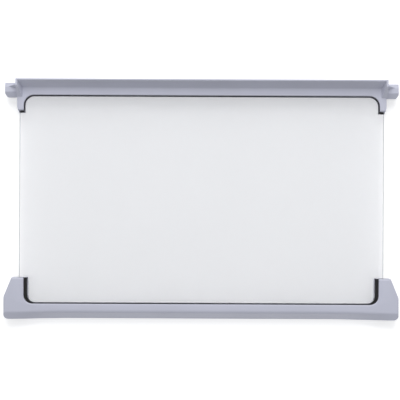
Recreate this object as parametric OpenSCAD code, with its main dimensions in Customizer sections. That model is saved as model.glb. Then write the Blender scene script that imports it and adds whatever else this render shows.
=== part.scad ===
// Refrigerator shelf: a tempered glass plate held by a moulded front trim and a moulded rear trim.
// X is the width, Y runs from the front trim to the rear trim and Z is up.
// The origin is in the middle of the footprint, on the surface that the shelf lies on.

/* [Glass plate] */
// Width of the glass
glass_w = 461; // [420:1:520]
// Depth of the glass, from its front edge to its rear edge
glass_d = 282; // [220:1:360]
// Thickness of the glass
glass_t = 4; // [3:0.5:5]
// Radius of the corners of the glass
glass_corner_r = 4; // [2:0.5:8]
// Width of the ground bevel along the edges of the glass
glass_bevel = 0.5; // [0.2:0.1:1]
// Height of the underside of the glass above the surface that the shelf lies on
glass_z = 16; // [15:0.5:22]

/* [Glass channel] */
// Gap between the glass and the lip above it
seat_gap = 0.1; // [0:0.05:0.3]
// Gap between an edge of the glass and the wall that stops it
edge_gap = 0.3; // [0.1:0.1:0.8]
// Thickness of the lips above the glass
lip_t = 2.2; // [1.8:0.1:3]
// Thickness of the beds under the glass
bed_t = 2; // [1.5:0.1:3]
// How far the beds reach in past the lips above them
bed_reach = 1.5; // [0.5:0.1:3]

/* [Mouldings] */
// Thickness of the walls of both trims
wall = 2.2; // [1.6:0.1:2.6]
// Thickness of the ribs
rib_t = 1.6; // [1:0.1:2.4]
// Distance from one rib to the next
rib_pitch = 36; // [24:1:60]
// Height of the undersides of the ears and pegs, which lie on the ledges of the cabinet
rest_z = 8; // [5:0.5:10]

/* [Front trim] */
// Width of the front trim over its ears
front_w = 500; // [490:1:530]
// Depth of the front trim, from its front edge to the edge of its lip
front_d = 20; // [17:0.5:26]
// Distance from the front edge of the trim to the front edge of the glass
front_stop = 11.5; // [11:0.1:13]
// Depth of the raked front face, seen from above, up to where it would meet the top
rake_d = 9.5; // [7:0.1:10]
// Height of the upright rim under the raked face, in the middle
rim_mid = 2.8; // [1:0.1:4]
// How far the rim lies below the top at the two ends
rim_end_drop = 5.5; // [4:0.1:8]
// Length of each end over which the raked face turns flatter
rake_turn = 85; // [50:1:120]
// Radius between the raked face and the top
brow_r = 5.5; // [3:0.1:6]

/* [Ears] */
// Length of the ears, from the front edge of the trim
ear_l = 53; // [42:1:70]
// Distance from the front edge of the trim to the bend in the outer side of an ear
ear_bend = 28.5; // [20:0.5:34]
// How much an ear narrows from the bend to its rear end
ear_taper = 10; // [2:0.5:14]
// How far an ear laps over the side of the glass
ear_lap = 6; // [4:0.5:9]
// How far the bed of an ear reaches in under the glass
ear_bed = 10.5; // [10:0.5:16]
// Radius of the front corners of the trim
front_corner_r = 5.5; // [3:0.5:9]
// Radius of the rounded rim on top of the ears
ear_rim_r = 2.6; // [1:0.1:4]
// Radius of the inner corners, where the ears meet the lip
front_window_r = 11; // [6:0.5:16]

/* [Rear trim] */
// Width of the rear trim over its end walls
rear_w = 467; // [464:0.5:530]
// Depth of the rear trim, from its rear edge to the edge of its lip
rear_d = 19.5; // [17:0.5:26]
// Distance from the rear edge of the trim to the rear edge of the glass
rear_stop = 9.8; // [9:0.1:12]
// Height of the raised rear edge above the lip
upstand_h = 14; // [8:0.5:22]
// Distance from the rear edge to the crease at the foot of the raised edge
crease_d = 10; // [9.5:0.1:13]
// Thickness of the top of the raised edge
upstand_top = 1.8; // [1.2:0.1:2.4]
// Radius in the crease
crease_r = 3; // [1:0.5:5]
// Thickness of the foot flange
foot_t = 2; // [1.5:0.1:3]

/* [Ends of the rear trim] */
// Length of the legs along the sides of the glass, from the rear edge
leg_l = 37.5; // [32:0.5:60]
// How far a leg laps over the side of the glass
leg_lap = 5.5; // [4:0.5:9]
// Length of the tapered tip of a leg
leg_tip_l = 7.5; // [5:0.5:12]
// How far the tip goes on past the end of the lip above it
leg_tip_out = 4.5; // [3:0.5:8]
// Thickness of the end walls
end_wall_t = 2.4; // [1.6:0.1:2.6]
// Length of the top of an end wall before it slopes down to the lip
end_top_l = 9; // [4:0.5:12]
// Length of an end wall, from the rear edge to where it meets the lip
end_wall_l = 22; // [18:0.5:26]
// How far the inner side of an end wall leans in at its foot
end_lean = 4.4; // [2:0.1:6]
// Radius of the inner corners, where the legs meet the lip
rear_window_r = 13; // [6:0.5:18]

/* [Pegs] */
// Distance between the tips of the two pegs
peg_span = 498; // [484:1:550]
// Distance from the rear edge of the trim to the rear side of a peg
peg_back = 4; // [3:0.1:6]
// Size of a peg from its rear side to its front side
peg_d = 18; // [15:0.5:24]
// How far the top of a peg lies below the lip
peg_step = 1.5; // [0.5:0.1:3]
// Depth of the sloped nose on the front side of a peg
peg_nose = 6.5; // [4:0.5:7]
// How far the sloped nose drops
peg_nose_drop = 4.5; // [2:0.5:6]
// Height of the gusset above a peg
gusset_h = 8; // [4:0.5:12]

/* [Hidden] */

// Steps in a rounded corner, and in the small roundings along an edge
corner_steps = 8;
edge_steps = 4;
// Stations along the turn of the raked face, and steps up its slope
turn_steps = 20;
rake_steps = 4;
// How far a cutting shape runs past the surface that it cuts
past = 1;
// Slope across the rear part of the top of a peg
peg_back_drop = 1.2;
// Rounding along the edges of the lips and along the outer sides of the legs
lip_edge_r = 1.4;
leg_rim_r = 1;
// Slope on the ends of the legs
leg_end_slope = 1.8;
// Fillets of the end walls and of the raised edge
end_top_r = 1.2;
top_edge_r = 0.7;
// Radius where the front face steps up to the ears
step_r = 4;
// Bays under each ear
ear_bays = 3;
// How far the ribs of the front trim reach down at the edge of the bed
rib_rise = 3;
// Chamfer on the front corner at the tip of a peg: along its side, and across
tip_chamfer_l = 4;
tip_chamfer_w = 2.5;

glass_top = glass_z + glass_t;
lip_z = glass_top + seat_gap;
top_z = lip_z + lip_t;
bed_z = glass_z - bed_t;
depth = front_stop + glass_d + rear_stop;
trim_grey = [0.72, 0.73, 0.77];

function unit(v) = v / norm(v);
function mix(a, b, t) = a + (b - a) * t;
function ease(t) = t * t * (3 - 2 * t);
function clamp(t) = min(1, max(0, t));

// A rounded corner at p, between the neighbours a and b
function fillet(a, p, b, r, steps) =
    let (
        u = unit(a - p),
        v = unit(b - p),
        half = acos(u * v) / 2,
        c = p + unit(u + v) * r / sin(half),
        from = p + u * r / tan(half) - c,
        to = p + v * r / tan(half) - c,
        start = atan2(from.y, from.x),
        sweep = atan2(cross(from, to), from * to)
    )
    [for (i = [0:steps]) c + r * [cos(start + sweep * i / steps), sin(start + sweep * i / steps)]];

// A closed outline from corners [x, y, radius], where a radius of 0 leaves the corner sharp
function outline(corners, steps = corner_steps) =
    let (n = len(corners), p = [for (c = corners) [c[0], c[1]]])
    [for (i = [0:n - 1])
        each (corners[i][2] > 0
            ? fillet(p[(i + n - 1) % n], p[i], p[(i + 1) % n], corners[i][2], steps)
            : [p[i]])];

// The corners moved inwards by d, with the outline listed anticlockwise
function inset(corners, d) =
    let (n = len(corners), p = [for (c = corners) [c[0], c[1]]])
    [for (i = [0:n - 1])
        let (
            e1 = unit(p[i] - p[(i + n - 1) % n]),
            e2 = unit(p[(i + 1) % n] - p[i]),
            n1 = [-e1.y, e1.x],
            n2 = [-e2.y, e2.x],
            q = p[i] + d * (n1 + n2) / (1 + n1 * n2),
            r = corners[i][2]
        )
        [q.x, q.y, r > 0 ? max(0.05, cross(e1, e2) > 0 ? r - d : r + d) : 0]];

// A quarter round at the top of a side: levels [z, inset] that end at the height z
function rounded_rim(z, r) =
    [for (i = [0:edge_steps]) let (a = 90 * i / edge_steps) [z - r + r * sin(a), r * (1 - cos(a))]];

// A solid with one ring of points for each section, all with the same number of points
module loft(rings) {
    n = len(rings[0]);
    last = len(rings) - 1;
    sides = [for (k = [0:last - 1], i = [0:n - 1])
        let (a = k * n + i, b = k * n + (i + 1) % n)
        each [[a, a + n, b + n], [a, b + n, b]]];
    caps = [[for (i = [0:n - 1]) i], [for (i = [n - 1:-1:0]) last * n + i]];
    polyhedron(points = [for (ring = rings) each ring], faces = concat(sides, caps));
}

// An outline raised through levels [z, inset]
module raised(corners, levels) {
    loft([for (l = levels) [for (p = outline(inset(corners, l[1]))) [p.x, p.y, l[0]]]]);
}

// A profile drawn in Y and Z, extruded along X from one place to the other
module along_x(from, to) {
    translate([from, 0, 0])
        rotate([90, 0, 90])
            linear_extrude(to - from)
                children();
}

module both_sides() {
    children();
    mirror([1, 0, 0])
        children();
}

// Places of the middles of n bays that fill a length from -half to half
function bay_count(half) = max(1, round(2 * half / rib_pitch));
function bay_middle(i, half) = -half + (2 * half) * (i + 0.5) / bay_count(half);

// Corners of a window in a trim, open towards the glass
function window(half, edge, far, r) = [[-half, edge, r], [half, edge, r], [half, far, 0], [-half, far, 0]];

// The space that the glass takes in a trim, with its clearances
module glass_pocket(stop) {
    half = glass_w / 2 + edge_gap;
    translate([-half, stop - edge_gap, glass_z])
        cube([2 * half, glass_d, glass_t + seat_gap]);
}

// The opening above the glass, with a rounded edge along the lip
module lip_window(half, edge, far, r) {
    rim = [for (i = [0:edge_steps])
        let (a = 90 * i / edge_steps)
        [top_z - lip_edge_r * (1 - sin(a)), -lip_edge_r * (1 - cos(a))]];
    raised(window(half, edge, far, r), concat([[lip_z - past, 0]], rim, [[top_z + past, -lip_edge_r]]));
}

module glass_panel() {
    y0 = front_stop - depth / 2;
    w = glass_w / 2;
    corners = [[-w, y0, glass_corner_r], [w, y0, glass_corner_r],
        [w, y0 + glass_d, glass_corner_r], [-w, y0 + glass_d, glass_corner_r]];
    color([0.84, 0.87, 0.9, 0.6])
        raised(corners, [[glass_z, glass_bevel], [glass_z + glass_bevel, 0],
            [glass_top - glass_bevel, 0], [glass_top, glass_bevel]]);
}

// Height of the rim under the raked face, at a distance x from the middle
function rim_at(x) =
    mix(rim_mid, top_z - rim_end_drop, ease(clamp((abs(x) - front_w / 2 + rake_turn) / rake_turn)));

// What the raked face and the brow above it cut away at x, in Y and Z
function brow_cut(x) =
    let (
        rim = rim_at(x),
        start = [-past, rim - past * (top_z - rim) / rake_d],
        arc = fillet(start, [rake_d, top_z], [front_d, top_z], brow_r, corner_steps)
    )
    [[-past, top_z + past],
        for (i = [0:rake_steps - 1]) mix(start, arc[0], i / rake_steps),
        each arc,
        [arc[corner_steps].x, top_z + past]];

// Corners of the front trim seen from above, with Y from its front edge
front_corners = [
    [-front_w / 2, 0, front_corner_r],
    [front_w / 2, 0, front_corner_r],
    [front_w / 2, ear_bend, 10],
    [front_w / 2 - ear_taper, ear_l, 1.5],
    [ear_taper - front_w / 2, ear_l, 1.5],
    [-front_w / 2, ear_bend, 10]
];

// The outer form of the front trim before it is hollowed out
module front_blank() {
    turn = [for (i = [0:turn_steps]) front_w / 2 - rake_turn * (1 - i / turn_steps)];
    stations = concat([-front_w / 2 - past], [for (i = [turn_steps:-1:0]) -turn[i]], turn, [front_w / 2 + past]);
    difference() {
        raised(front_corners, concat([[0, 0]], rounded_rim(top_z, ear_rim_r)));
        loft([for (x = stations) [for (p = brow_cut(x)) [x, p.x, p.y]]]);
    }
}

// The hollow behind the front face, cut in bays so that ribs stay between them
module front_bays(half) {
    lean = rake_d / (top_z - rim_mid);
    inner = wall * sqrt(1 + lean * lean);
    stop = front_stop - edge_gap - wall;
    low = rim_mid - (inner - wall) / lean;
    high = rim_mid + (stop - inner) / lean;
    bed_end = front_d + bed_reach + past;
    far = ear_l + past;
    n = bay_count(half);
    for (i = [0:n - 1])
        along_x(bay_middle(i, half) - half / n + rib_t / 2, bay_middle(i, half) + half / n - rib_t / 2)
            polygon([[wall, -past], [wall, low], [stop, high], [stop, bed_z], [far, bed_z], [far, -past]]);
    along_x(-half, half)
        polygon([[wall, -past], [wall, rim_mid], [bed_end, bed_z - rib_rise], [bed_end, -past]]);
}

// The hollow under an ear, in bays along its length: low under the glass, high beside it
module ear_hollow(x_in, x_side) {
    bay = (ear_l - 2 * wall - (ear_bays - 1) * rib_t) / ear_bays;
    for (i = [0:ear_bays - 1])
        intersection() {
            linear_extrude(lip_z)
                polygon(outline(inset(front_corners, wall)));
            translate([0, wall + i * (bay + rib_t), -past])
                union() {
                    translate([x_in, 0, 0])
                        cube([front_w, bay, bed_z + past]);
                    translate([x_side, i == 0 ? rake_d : 0, 0])
                        cube([front_w, i == 0 ? bay - rake_d : bay, lip_z + past]);
                }
        }
}

// What is cut away below an ear, so that it lies on a ledge beside the fascia
module ledge_cut(x_in) {
    far = ear_l + past;
    translate([x_in, wall, -past])
        cube([front_w, far, rest_z + past]);
    translate([0, wall + past, 0])
        rotate([90, 0, 0])
            linear_extrude(wall + 2 * past)
                polygon(outline([[x_in, -past, 0], [front_w, -past, 0], [front_w, rest_z, 0],
                    [x_in, rest_z, step_r]]));
    along_x(x_in - wall - past, x_in + past)
        polygon([[wall, -past], [wall, rim_mid], [front_d + bed_reach, rest_z], [far, rest_z], [far, -past]]);
}

module front_trim() {
    bed_end = front_d + bed_reach;
    bed_half = glass_w / 2 - ear_bed;
    far = ear_l + past;
    color(trim_grey)
        translate([0, -depth / 2, 0])
            difference() {
                front_blank();
                glass_pocket(front_stop);
                lip_window(glass_w / 2 - ear_lap, front_d, far, front_window_r);
                raised(window(bed_half, bed_end, far, front_window_r - bed_reach),
                    [[-past, 0], [glass_z + past / 2, 0]]);
                front_bays(bed_half);
                both_sides() {
                    ear_hollow(bed_half + wall, glass_w / 2 + edge_gap + wall);
                    ledge_cut(bed_half + wall);
                }
            }
}

// Corners of the rear trim seen from above, with Y from its rear edge towards the front
rear_corners = [
    [-rear_w / 2, 0, 0],
    [rear_w / 2, 0, 0],
    [rear_w / 2, leg_l + leg_tip_out - leg_tip_l, 0],
    [glass_w / 2 + edge_gap + 0.6, leg_l + leg_tip_out, 0.5],
    [-glass_w / 2 - edge_gap - 0.6, leg_l + leg_tip_out, 0.5],
    [-rear_w / 2, leg_l + leg_tip_out - leg_tip_l, 0]
];

// The section of the raised edge with the stop web and the foot
module upstand_section() {
    web = rear_stop - edge_gap;
    polygon(outline([
        [0, 0, 0],
        [web, 0, 0],
        [web, bed_z, 0],
        [rear_d - 3, bed_z, 0],
        [rear_d - 3, top_z, 0],
        [crease_d, top_z, crease_r],
        [upstand_top, top_z + upstand_h, top_edge_r],
        [0, top_z + upstand_h, top_edge_r]
    ]));
}

// The hollow behind the raised edge, cut in bays so that ribs stay between them
module rear_bays(half) {
    lean = (crease_d - upstand_top) / upstand_h;
    web = rear_stop - edge_gap - wall;
    back = crease_d - wall * sqrt(1 + lean * lean);
    turn_z = top_z + (back - web) / lean;
    far_z = top_z + (back + past) / lean;
    n = bay_count(half);
    for (i = [0:n - 1])
        along_x(bay_middle(i, half) - half / n + rib_t / 2, bay_middle(i, half) + half / n - rib_t / 2)
            polygon([[-past, foot_t], [web, foot_t], [web, turn_z], [-past, far_z]]);
}

// The wall that closes one end, seen from the side
function end_wall_corners() = [
    [0, 0, 0],
    [end_wall_l - rest_z, 0, 2],
    [end_wall_l, rest_z, 2],
    [end_wall_l, top_z, 0],
    [end_top_l, top_z + upstand_h, 3],
    [0, top_z + upstand_h, end_top_r]
];

module end_wall() {
    half = rear_w / 2;
    along_x(half - end_wall_t, half)
        polygon(outline(end_wall_corners()));
    intersection() {
        along_x(half - end_wall_t - end_lean, half - end_wall_t / 2)
            polygon(outline(end_wall_corners()));
        translate([half - end_wall_t, end_wall_l + past, 0])
            rotate([90, 0, 0])
                linear_extrude(end_wall_l + 2 * past)
                    polygon([[0, top_z + upstand_h], [end_wall_t, top_z + upstand_h], [end_wall_t, lip_z],
                        [-end_lean, lip_z], [-end_lean, top_z]]);
    }
}

// One peg with its sloped nose and the gusset that ties it to the end wall
module peg() {
    root = rear_w / 2 - end_wall_t / 2;
    tip = peg_span / 2;
    peg_top = top_z - peg_step;
    front = peg_back + peg_d;
    ridge = peg_back + 5.2;
    difference() {
        along_x(root, tip)
            polygon(outline([[peg_back, rest_z, 0.6], [front, rest_z, 0.6], [front, peg_top - peg_nose_drop, 0.6],
                [front - peg_nose, peg_top, 1], [ridge, peg_top, 1], [peg_back, peg_top - peg_back_drop, 0.6]]));
        translate([tip, front, 0])
            linear_extrude(top_z)
                polygon([[-tip_chamfer_w, past], [-tip_chamfer_w, 0], [0, -tip_chamfer_l], [past, -tip_chamfer_l],
                    [past, past]]);
    }
    polyhedron(
        points = [[root, peg_back + 0.4, peg_top - peg_back_drop - past], [root, peg_back + 8, peg_top - past],
            [tip - 3, ridge, peg_top - past], [root, peg_back + 2, peg_top + gusset_h]],
        faces = [[0, 2, 1], [0, 1, 3], [1, 2, 3], [2, 0, 3]]
    );
}

// The hollow under a peg, in two pockets with a rib between them
module peg_hollow() {
    root = rear_w / 2;
    length = peg_span / 2 - root - wall;
    pocket = (peg_d - 2 * wall - rib_t) / 2;
    for (i = [0:1])
        translate([root, peg_back + wall + i * (pocket + rib_t), rest_z - past])
            cube([length, pocket, top_z - peg_step - peg_nose_drop - wall - rest_z + past]);
}

// What is cut away above the tip of a leg, so that its lip ends in a slope
module leg_end_cut(x_in, far) {
    run = leg_end_slope / (top_z - glass_top);
    along_x(x_in, rear_w)
        polygon([[leg_l - run * past, top_z + past], [leg_l + leg_end_slope, glass_top], [far, glass_top],
            [far, top_z + past]]);
}

module rear_trim() {
    far = leg_l + leg_tip_out + past;
    half = glass_w / 2 - leg_lap;
    color(trim_grey)
        translate([0, depth / 2, 0])
            mirror([0, 1, 0])
                difference() {
                    union() {
                        raised(rear_corners, concat([[bed_z, 0]], rounded_rim(top_z, leg_rim_r)));
                        along_x(-rear_w / 2, rear_w / 2)
                            upstand_section();
                        both_sides() {
                            end_wall();
                            peg();
                        }
                    }
                    glass_pocket(rear_stop);
                    lip_window(half, rear_d, far, rear_window_r);
                    raised(window(half - bed_reach, rear_d + bed_reach, far, rear_window_r - bed_reach),
                        [[-past, 0], [glass_z + past / 2, 0]]);
                    rear_bays(rear_w / 2 - end_wall_t);
                    both_sides() {
                        peg_hollow();
                        leg_end_cut(half - rear_window_r, far);
                    }
                }
}

glass_panel();
front_trim();
rear_trim();
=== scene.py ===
# Refrigerator shelf: a glass plate held by a moulded front trim and a moulded rear trim.
# Lengths are in metres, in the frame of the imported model: X is the width, +Y is the rear, Z is up.
import math

import bmesh
import bpy
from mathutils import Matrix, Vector


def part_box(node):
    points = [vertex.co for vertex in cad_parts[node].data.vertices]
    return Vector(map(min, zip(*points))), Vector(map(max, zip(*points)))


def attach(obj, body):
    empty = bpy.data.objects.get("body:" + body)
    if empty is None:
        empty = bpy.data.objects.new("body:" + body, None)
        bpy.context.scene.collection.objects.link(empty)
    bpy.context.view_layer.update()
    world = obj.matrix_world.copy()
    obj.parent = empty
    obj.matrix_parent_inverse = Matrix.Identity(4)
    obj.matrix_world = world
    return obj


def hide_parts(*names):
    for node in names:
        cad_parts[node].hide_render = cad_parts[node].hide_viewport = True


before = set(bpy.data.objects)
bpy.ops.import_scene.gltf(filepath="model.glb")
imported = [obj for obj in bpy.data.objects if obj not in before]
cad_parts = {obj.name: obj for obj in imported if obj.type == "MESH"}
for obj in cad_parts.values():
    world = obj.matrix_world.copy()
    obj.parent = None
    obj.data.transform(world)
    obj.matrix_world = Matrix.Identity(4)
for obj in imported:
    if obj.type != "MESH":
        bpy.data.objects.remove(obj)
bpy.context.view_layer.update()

MM = 0.001
glass_low, glass_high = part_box("glass_panel")

# Camera, straight above the shelf
CAMERA_PLACE = (-1.8 * MM, 0.2 * MM, 1.42)
CAMERA_TURN = math.radians(0.26)
CAMERA_LENS = 99.6

# Roundings that the moulds leave on long outer edges
EDGE_ROUND = 0.3 * MM
EDGE_LEAST_LENGTH = 1.0 * MM
EDGE_LEAST_ANGLE = math.radians(35)
SMOOTH_ANGLE = math.radians(28)


def deselect_all():
    bpy.ops.object.select_all(action="DESELECT")


def merged_copy(node, name):
    """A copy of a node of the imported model, with its loose triangles joined into one skin."""
    deselect_all()
    piece = bpy.data.objects.new(name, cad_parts[node].data.copy())
    piece.data.name = name
    piece.data.materials.clear()
    bpy.context.collection.objects.link(piece)
    bpy.context.view_layer.objects.active = piece
    piece.select_set(True)
    bpy.ops.object.mode_set(mode="EDIT")
    bpy.ops.mesh.select_mode(type="EDGE")
    bpy.ops.mesh.select_all(action="SELECT")
    bpy.ops.mesh.remove_doubles(threshold=0.002 * MM)
    bpy.ops.mesh.customdata_custom_splitnormals_clear()
    bpy.ops.mesh.dissolve_limited(angle_limit=math.radians(0.2))
    bpy.ops.mesh.select_all(action="DESELECT")
    bpy.ops.object.mode_set(mode="OBJECT")
    return piece


def round_long_edges(piece, width):
    """Rounds the long outer edges of a moulding and leaves the fine facets of its curves alone."""
    bpy.ops.object.mode_set(mode="EDIT")
    skin = bmesh.from_edit_mesh(piece.data)
    for edge in skin.edges:
        outer = edge.calc_face_angle_signed(0) > EDGE_LEAST_ANGLE
        edge.select = outer and edge.calc_length() > EDGE_LEAST_LENGTH
    bmesh.update_edit_mesh(piece.data)
    bpy.ops.mesh.bevel(offset=width, segments=2, profile=0.5, clamp_overlap=False)
    bpy.ops.mesh.select_all(action="DESELECT")
    bpy.ops.object.mode_set(mode="OBJECT")


def finish_piece(piece, node):
    deselect_all()
    piece.select_set(True)
    bpy.context.view_layer.objects.active = piece
    bpy.ops.object.shade_smooth_by_angle(angle=SMOOTH_ANGLE)
    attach(piece, "root")
    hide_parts(node)


def new_material(name):
    material = bpy.data.materials.new(name)
    material.use_nodes = True
    return material, material.node_tree.nodes, material.node_tree.links


def add_node(nodes, kind, **inputs):
    node = nodes.new(kind)
    for key, value in inputs.items():
        node.inputs[key.replace("_", " ")].default_value = value
    return node


def moulded_plastic(name, light, dark):
    """Satin moulded plastic: a fine spark-eroded grain over a slow waviness, with faint flow clouds."""
    material, nodes, links = new_material(name)
    shader = nodes["Principled BSDF"]
    shader.inputs["IOR"].default_value = 1.5
    place = nodes.new("ShaderNodeTexCoord")

    clouds = add_node(nodes, "ShaderNodeTexNoise", Scale=14.0, Detail=3.0, Roughness=0.5)
    links.new(place.outputs["Object"], clouds.inputs["Vector"])
    tones = nodes.new("ShaderNodeValToRGB")
    tones.color_ramp.elements[0].position = 0.35
    tones.color_ramp.elements[0].color = (*dark, 1)
    tones.color_ramp.elements[1].position = 0.65
    tones.color_ramp.elements[1].color = (*light, 1)
    links.new(clouds.outputs["Fac"], tones.inputs["Fac"])
    links.new(tones.outputs["Color"], shader.inputs["Base Color"])

    grain = add_node(nodes, "ShaderNodeTexNoise", Scale=2200.0, Detail=2.0, Roughness=0.6)
    links.new(place.outputs["Object"], grain.inputs["Vector"])
    waves = add_node(nodes, "ShaderNodeTexNoise", Scale=60.0, Detail=1.0, Roughness=0.4)
    links.new(place.outputs["Object"], waves.inputs["Vector"])
    satin = add_node(nodes, "ShaderNodeMapRange", From_Min=0.3, From_Max=0.7, To_Min=0.38, To_Max=0.5)
    links.new(grain.outputs["Fac"], satin.inputs["Value"])
    links.new(satin.outputs["Result"], shader.inputs["Roughness"])

    coarse = add_node(nodes, "ShaderNodeBump", Strength=0.08, Distance=0.4 * MM)
    links.new(waves.outputs["Fac"], coarse.inputs["Height"])
    fine = add_node(nodes, "ShaderNodeBump", Strength=0.15, Distance=0.04 * MM)
    links.new(grain.outputs["Fac"], fine.inputs["Height"])
    links.new(coarse.outputs["Normal"], fine.inputs["Normal"])
    links.new(fine.outputs["Normal"], shader.inputs["Normal"])
    return material


def clear_glass():
    """Clear tempered glass with a faint grey cast and the slight roller wave of the furnace."""
    material, nodes, links = new_material("clear_glass")
    shader = nodes["Principled BSDF"]
    shader.inputs["Transmission Weight"].default_value = 1.0
    shader.inputs["Roughness"].default_value = 0.02
    shader.inputs["IOR"].default_value = 1.52
    shader.inputs["Base Color"].default_value = (0.93, 0.935, 0.95, 1)
    place = nodes.new("ShaderNodeTexCoord")
    wave = add_node(nodes, "ShaderNodeTexNoise", Scale=9.0, Detail=1.0, Roughness=0.3)
    links.new(place.outputs["Object"], wave.inputs["Vector"])
    bump = add_node(nodes, "ShaderNodeBump", Strength=0.05, Distance=0.3 * MM)
    links.new(wave.outputs["Fac"], bump.inputs["Height"])
    links.new(bump.outputs["Normal"], shader.inputs["Normal"])
    return material


def ground_edge_painted_shade():
    """The ground and seamed edge of the plate: rough, with a darker colour that is painted shade for
    how dark the edge looks when one looks along the glass.
    """
    material, nodes, links = new_material("ground_edge_painted_shade")
    shader = nodes["Principled BSDF"]
    shader.inputs["Transmission Weight"].default_value = 0.6
    shader.inputs["IOR"].default_value = 1.52
    # Painted shade: this dark grey base colour stands in for the dark line the edge shows, not for the
    # glass's own colour.
    shader.inputs["Base Color"].default_value = (0.5, 0.53, 0.55, 1)
    place = nodes.new("ShaderNodeTexCoord")
    frost = add_node(nodes, "ShaderNodeTexNoise", Scale=1500.0, Detail=2.0, Roughness=0.6)
    links.new(place.outputs["Object"], frost.inputs["Vector"])
    rough = add_node(nodes, "ShaderNodeMapRange", To_Min=0.35, To_Max=0.6)
    links.new(frost.outputs["Fac"], rough.inputs["Value"])
    links.new(rough.outputs["Result"], shader.inputs["Roughness"])
    bump = add_node(nodes, "ShaderNodeBump", Strength=0.3, Distance=0.05 * MM)
    links.new(frost.outputs["Fac"], bump.inputs["Height"])
    links.new(bump.outputs["Normal"], shader.inputs["Normal"])
    return material


def make_trim(node, name, material):
    trim = merged_copy(node, name)
    round_long_edges(trim, EDGE_ROUND)
    trim.data.materials.append(material)
    finish_piece(trim, node)
    return trim


def make_glass():
    plate = merged_copy("glass_panel", "glass_plate")
    plate.data.materials.append(clear_glass())
    plate.data.materials.append(ground_edge_painted_shade())
    for face in plate.data.polygons:
        face.material_index = 0 if abs(face.normal.z) > 0.9 else 1
    finish_piece(plate, "glass_panel")
    return plate


def make_floor():
    """A pale floor. What the camera sees of it is lifted to white, but it keeps the shelf's shadow."""
    deselect_all()
    bpy.ops.mesh.primitive_plane_add(size=30, location=(0, 0, -0.2 * MM))
    floor = bpy.context.object
    floor.name = "floor"
    material, nodes, links = new_material("pale_floor")
    shader = nodes["Principled BSDF"]
    shader.inputs["Base Color"].default_value = (0.82, 0.82, 0.82, 1)
    shader.inputs["Roughness"].default_value = 0.9
    shader.inputs["Specular IOR Level"].default_value = 0.0
    path = nodes.new("ShaderNodeLightPath")
    seen = add_node(nodes, "ShaderNodeMath")
    seen.operation = "MAXIMUM"
    links.new(path.outputs["Is Camera Ray"], seen.inputs[0])
    links.new(path.outputs["Is Glossy Ray"], seen.inputs[1])
    lift = add_node(nodes, "ShaderNodeMath")
    lift.operation = "MULTIPLY"
    lift.inputs[1].default_value = 0.45
    links.new(seen.outputs["Value"], lift.inputs[0])
    shader.inputs["Emission Color"].default_value = (1, 1, 1, 1)
    links.new(lift.outputs["Value"], shader.inputs["Emission Strength"])
    floor.data.materials.append(material)


def make_world():
    world = bpy.data.worlds.new("studio")
    bpy.context.scene.world = world
    world.use_nodes = True
    nodes = world.node_tree.nodes
    links = world.node_tree.links
    light = nodes["Background"]
    light.inputs["Color"].default_value = (0.97, 0.98, 1.0, 1)
    light.inputs["Strength"].default_value = 0.62
    backdrop = nodes.new("ShaderNodeBackground")
    backdrop.inputs["Color"].default_value = (1, 1, 1, 1)
    backdrop.inputs["Strength"].default_value = 1.0
    path = nodes.new("ShaderNodeLightPath")
    mix = nodes.new("ShaderNodeMixShader")
    links.new(path.outputs["Is Camera Ray"], mix.inputs["Fac"])
    links.new(light.outputs["Background"], mix.inputs[1])
    links.new(backdrop.outputs["Background"], mix.inputs[2])
    links.new(mix.outputs["Shader"], nodes["World Output"].inputs["Surface"])


def make_lamp(name, place, target, size, power):
    deselect_all()
    bpy.ops.object.light_add(type="AREA", location=place)
    lamp = bpy.context.object
    lamp.name = name
    lamp.data.size = size
    lamp.data.energy = power
    lamp.rotation_euler = (Vector(target) - Vector(place)).to_track_quat("-Z", "Y").to_euler()


def make_camera():
    deselect_all()
    bpy.ops.object.camera_add(location=CAMERA_PLACE, rotation=(0, 0, CAMERA_TURN))
    camera = bpy.context.object
    camera.data.sensor_width = 36
    camera.data.lens = CAMERA_LENS
    bpy.context.scene.camera = camera


make_camera()
make_world()
make_floor()
make_lamp("key_lamp", (0, 1.3, 1.3), (0, 0.05, 0), 1.2, 22)

FRONT_LIGHT = (0.50, 0.51, 0.60)
FRONT_DARK = (0.48, 0.49, 0.575)
front_plastic = moulded_plastic("front_plastic", FRONT_LIGHT, FRONT_DARK)
rear_plastic = moulded_plastic("rear_plastic", FRONT_LIGHT, FRONT_DARK)

make_glass()
make_trim("front_trim", "front_moulding", front_plastic)
make_trim("rear_trim", "rear_moulding", rear_plastic)

bpy.context.scene.view_settings.view_transform = "Standard"
